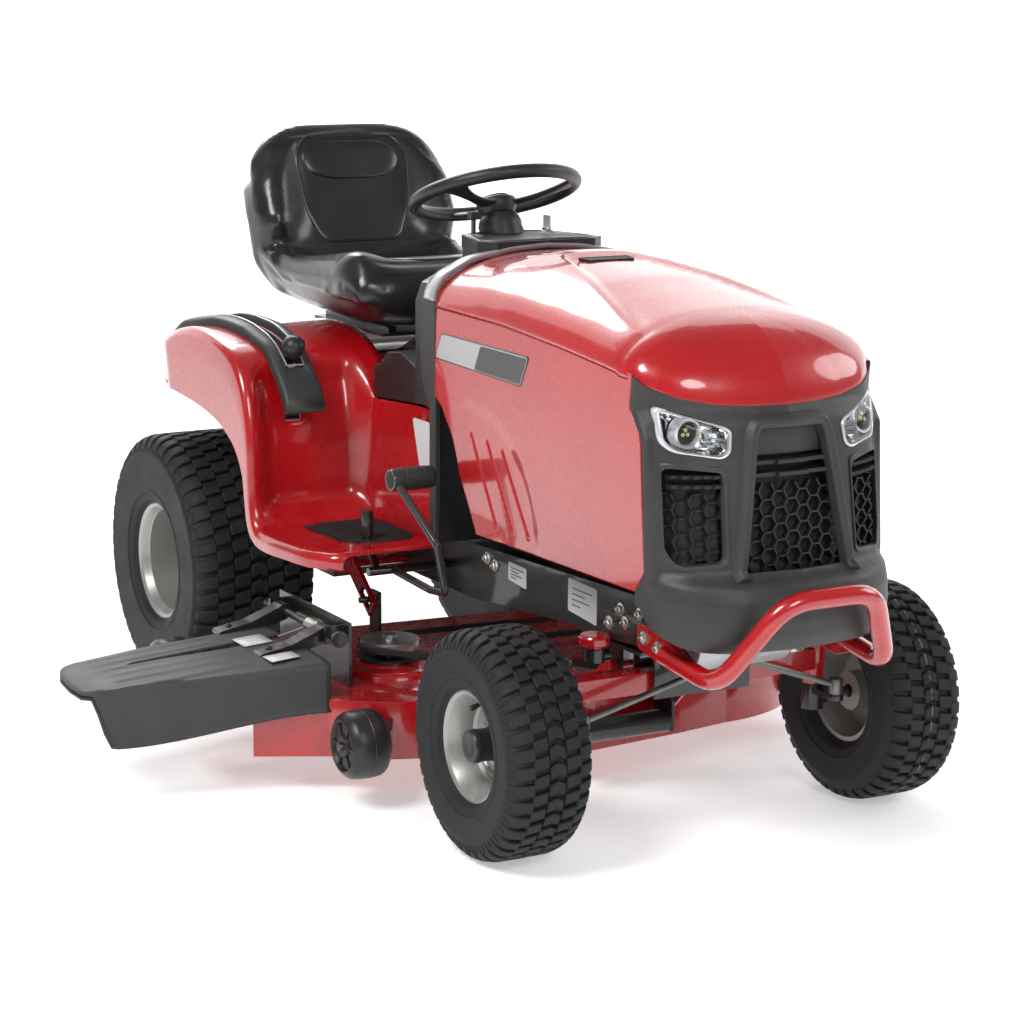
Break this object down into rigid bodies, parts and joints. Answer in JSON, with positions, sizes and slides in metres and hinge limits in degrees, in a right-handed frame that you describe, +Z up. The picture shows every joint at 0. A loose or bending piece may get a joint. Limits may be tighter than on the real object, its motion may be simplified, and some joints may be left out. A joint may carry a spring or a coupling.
{
  "type": "riding lawn mower",
  "caption": "Ride-on lawn mower with tilting hood, high-back seat, steered front wheels, side-discharge cutting deck, lift lever and pedals.",
  "frame": {"origin": "on the ground under the middle of the whole machine's box", "axes": "+Z up, the machine drives towards -Y, the discharge chute is on -X"},
  "size_m": [1.477, 1.909, 1.11],
  "materials": {
    "red_paint": "gloss",
    "black_paint": "satin",
    "dark_plastic": "textured",
    "black_plastic": "satin",
    "silver_plastic": "satin silver",
    "lamp": "clear",
    "tyre": "matt rubber",
    "rim_paint": "silver satin",
    "zinc": "zinc plated",
    "steel": "machined",
    "cast": "cast",
    "rubber": "ribbed",
    "vinyl": "moulded vinyl",
    "belt": "matt"
  },
  "bodies": {
    "chassis": {"frame_rail_right": "black_paint", "frame_rail_left": "black_paint", "frame_crossmembers": "black_paint", "bumper": "red_paint", "chassis_fasteners": "zinc", "fender_pan": "red_paint", "fender_console": "dark_plastic", "footrest_pads": "rubber", "tunnel_cover": "black_plastic", "dash_tower": "black_plastic", "dash_trim": "silver_plastic", "engine": "cast", "battery": "black_plastic", "fuel_tank": "black_plastic", "transaxle": "cast", "seat_bracket": "black_paint", "drive_belt": "belt"},
    "hood": {"hood_top": "red_paint", "hood_side_right": "red_paint", "hood_side_left": "red_paint", "grille_shell": "dark_plastic", "headlamps": "lamp"},
    "seat_frame": {"seat_base": "black_paint"},
    "seat": {"seat_bucket": "vinyl"},
    "steering": {"steering_wheel": "black_plastic"},
    "pinion": {"steering_pinion": "steel"},
    "sector": {"steering_sector": "zinc"},
    "link": {"drag_link": "zinc"},
    "middle_arm": {"steering_arm": "zinc"},
    "axle": {"front_axle": "red_paint"},
    "knuckle_r": {"knuckle_right": "black_paint"},
    "knuckle_l": {"knuckle_left": "black_paint"},
    "rod_r": {"track_rod_right": "zinc"},
    "rod_l": {"track_rod_left": "zinc"},
    "front_wheel_r": {"front_tyre_right": "tyre", "front_rim_right": "rim_paint"},
    "front_wheel_l": {"front_tyre_left": "tyre", "front_rim_left": "rim_paint"},
    "rear_wheel_r": {"rear_tyre_right": "tyre", "rear_rim_right": "rim_paint"},
    "rear_wheel_l": {"rear_tyre_left": "tyre", "rear_rim_left": "rim_paint"},
    "drive_pedals": {"drive_pedal": "black_paint"},
    "brake": {"brake_pedal": "black_paint"},
    "lever": {"lift_lever": "black_paint"},
    "arms": {"lift_arms": "red_paint"},
    "front_link": {"front_lift_link": "red_paint"},
    "deck": {"deck_shell": "red_paint", "deck_fittings": "black_paint", "deck_belt": "belt"},
    "chute": {"chute_deflector": "dark_plastic"},
    "blade_r": {"cutter_right": "steel"},
    "blade_l": {"cutter_left": "steel"},
    "crank": {"crankshaft": "steel"},
    "key": {"ignition_key": "zinc"},
    "throttle": {"throttle_lever": "black_plastic"},
    "gauge_fr": {"gauge_wheel_front_right": "black_plastic"},
    "gauge_rr": {"gauge_wheel_rear_right": "black_plastic"},
    "gauge_fl": {"gauge_wheel_front_left": "black_plastic"},
    "gauge_rl": {"gauge_wheel_rear_left": "black_plastic"}
  },
  "joints": [
    {"name": "steering_wheel_turn", "type": "hinge", "parent": "chassis", "child": "steering", "pos_m": [0.1505, 0.1595, 1.012], "axis": [0, 0.342, 0.9397], "range_deg": [-160, 160]},
    {"name": "pinion_turn", "type": "hinge", "parent": "chassis", "child": "pinion", "pos_m": [0.1505, -0.05233, 0.4], "axis": [0, 0, 1], "range_deg": [-161, 161]},
    {"name": "sector_turn", "type": "hinge", "parent": "chassis", "child": "sector", "pos_m": [0.1505, -0.17233, 0.303], "axis": [0, 0, 1], "range_deg": [-33, 33]},
    {"name": "drag_link_turn", "type": "hinge", "parent": "sector", "child": "link", "pos_m": [0.084, -0.17233, 0.306], "axis": [0, 0, 1], "range_deg": [-33, 33]},
    {"name": "middle_arm_turn", "type": "hinge", "parent": "chassis", "child": "middle_arm", "pos_m": [0.1505, -0.5455, 0.297], "axis": [0, 0, 1], "range_deg": [-33, 33]},
    {"name": "front_axle_roll", "type": "hinge", "parent": "chassis", "child": "axle", "pos_m": [0.1505, -0.5455, 0.262], "axis": [0, 1, 0], "range_deg": [-5, 5]},
    {"name": "knuckle_r_steer", "type": "hinge", "parent": "axle", "child": "knuckle_r", "pos_m": [-0.0995, -0.5455, 0.262], "axis": [0, 0, 1], "range_deg": [-33, 33]},
    {"name": "rod_r_turn", "type": "hinge", "parent": "knuckle_r", "child": "rod_r", "pos_m": [-0.0995, -0.612, 0.226], "axis": [0, 0, 1], "range_deg": [-33, 33]},
    {"name": "front_wheel_r_spin", "type": "hinge", "parent": "knuckle_r", "child": "front_wheel_r", "pos_m": [-0.2125, -0.5455, 0.1905], "axis": [1, 0, 0], "continuous": true},
    {"name": "knuckle_l_steer", "type": "hinge", "parent": "axle", "child": "knuckle_l", "pos_m": [0.4005, -0.5455, 0.262], "axis": [0, 0, 1], "range_deg": [-33, 33]},
    {"name": "rod_l_turn", "type": "hinge", "parent": "knuckle_l", "child": "rod_l", "pos_m": [0.4005, -0.612, 0.226], "axis": [0, 0, 1], "range_deg": [-33, 33]},
    {"name": "front_wheel_l_spin", "type": "hinge", "parent": "knuckle_l", "child": "front_wheel_l", "pos_m": [0.5135, -0.5455, 0.1905], "axis": [1, 0, 0], "continuous": true},
    {"name": "rear_wheel_r_spin", "type": "hinge", "parent": "chassis", "child": "rear_wheel_r", "pos_m": [-0.2055, 0.7005, 0.254], "axis": [1, 0, 0], "continuous": true},
    {"name": "rear_wheel_l_spin", "type": "hinge", "parent": "chassis", "child": "rear_wheel_l", "pos_m": [0.5065, 0.7005, 0.254], "axis": [1, 0, 0], "continuous": true},
    {"name": "hood_tilt", "type": "hinge", "parent": "chassis", "child": "hood", "pos_m": [0.1505, -0.8125, 0.47], "axis": [1, 0, 0], "range_deg": [0, 55]},
    {"name": "seat_tilt", "type": "hinge", "parent": "chassis", "child": "seat_frame", "pos_m": [0.1505, 0.3395, 0.712], "axis": [1, 0, 0], "range_deg": [0, 40]},
    {"name": "seat_slide", "type": "slide", "parent": "seat_frame", "child": "seat", "axis": [0, 1, 0], "range_m": [-0.03, 0.05]},
    {"name": "drive_pedal_press", "type": "hinge", "parent": "chassis", "child": "drive_pedals", "pos_m": [-0.0495, 0.0575, 0.345], "axis": [1, 0, 0], "range_deg": [-7, 11], "stiffness_Nm_per_rad": 25},
    {"name": "brake_pedal_press", "type": "hinge", "parent": "chassis", "child": "brake", "pos_m": [0.3505, 0.0575, 0.345], "axis": [1, 0, 0], "range_deg": [0, 16], "stiffness_Nm_per_rad": 25, "springref_deg": -3.44},
    {"name": "deck_lift", "type": "slide", "parent": "chassis", "child": "deck", "axis": [0, 0, 1], "range_m": [-0.014, 0.042]},
    {"name": "lift_lever_pull", "type": "hinge", "parent": "chassis", "child": "lever", "pos_m": [-0.1795, 0.5075, 0.56], "axis": [-1, 0, 0], "range_deg": [-10.2, 30.4]},
    {"name": "lift_arms_turn", "type": "hinge", "parent": "chassis", "child": "arms", "pos_m": [0.1505, 0.2275, 0.322], "axis": [-1, 0, 0], "range_deg": [-9, 26.7]},
    {"name": "front_link_turn", "type": "hinge", "parent": "chassis", "child": "front_link", "pos_m": [0.1505, -0.4475, 0.262], "axis": [1, 0, 0], "range_deg": [-4.3, 12.5]},
    {"name": "chute_lift", "type": "hinge", "parent": "deck", "child": "chute", "pos_m": [-0.2795, 0.0775, 0.262], "axis": [0, 1, 0], "range_deg": [0, 70], "stiffness_Nm_per_rad": 2, "springref_deg": -34.38},
    {"name": "blade_r_spin", "type": "hinge", "parent": "deck", "child": "blade_r", "pos_m": [-0.1135, 0.0675, 0.15], "axis": [0, 0, 1], "continuous": true},
    {"name": "blade_l_spin", "type": "hinge", "parent": "deck", "child": "blade_l", "pos_m": [0.4145, 0.0225, 0.15], "axis": [0, 0, 1], "continuous": true},
    {"name": "crankshaft_spin", "type": "hinge", "parent": "chassis", "child": "crank", "pos_m": [0.1505, -0.3625, 0.3], "axis": [0, 0, 1], "continuous": true},
    {"name": "ignition_key_turn", "type": "hinge", "parent": "chassis", "child": "key", "pos_m": [0.2345, 0.1115, 0.95], "axis": [0, 0, -1], "range_deg": [0, 75]},
    {"name": "throttle_move", "type": "hinge", "parent": "chassis", "child": "throttle", "pos_m": [0.065, 0.0825, 0.9], "axis": [1, 0, 0], "range_deg": [-10, 10]},
    {"name": "gauge_fr_spin", "type": "hinge", "parent": "deck", "child": "gauge_fr", "pos_m": [-0.3085, -0.2185, 0.114], "axis": [1, 0, 0], "continuous": true},
    {"name": "gauge_rr_spin", "type": "hinge", "parent": "deck", "child": "gauge_rr", "pos_m": [-0.3905, 0.4495, 0.1], "axis": [1, 0, 0], "continuous": true},
    {"name": "gauge_fl_spin", "type": "hinge", "parent": "deck", "child": "gauge_fl", "pos_m": [0.6955, -0.1865, 0.114], "axis": [1, 0, 0], "continuous": true},
    {"name": "gauge_rl_spin", "type": "hinge", "parent": "deck", "child": "gauge_rl", "pos_m": [0.6915, 0.4495, 0.1], "axis": [1, 0, 0], "continuous": true}
  ],
  "couplings": [
    {"joint": "pinion_turn", "follows": "steering_wheel_turn", "ratio": 1},
    {"joint": "sector_turn", "follows": "steering_wheel_turn", "ratio": -0.2},
    {"joint": "drag_link_turn", "follows": "steering_wheel_turn", "ratio": 0.2},
    {"joint": "middle_arm_turn", "follows": "steering_wheel_turn", "ratio": -0.2},
    {"joint": "knuckle_r_steer", "follows": "steering_wheel_turn", "ratio": -0.2},
    {"joint": "knuckle_l_steer", "follows": "steering_wheel_turn", "ratio": -0.2},
    {"joint": "rod_r_turn", "follows": "steering_wheel_turn", "ratio": 0.2},
    {"joint": "rod_l_turn", "follows": "steering_wheel_turn", "ratio": 0.2},
    {"joint": "lift_lever_pull", "follows": "deck_lift", "rad_per_m": 12.566},
    {"joint": "lift_arms_turn", "follows": "deck_lift", "rad_per_m": 10.996},
    {"joint": "front_link_turn", "follows": "deck_lift", "rad_per_m": 5.0964},
    {"joint": "blade_r_spin", "follows": "crankshaft_spin", "ratio": 0.745},
    {"joint": "blade_l_spin", "follows": "crankshaft_spin", "ratio": 0.745}
  ]
}
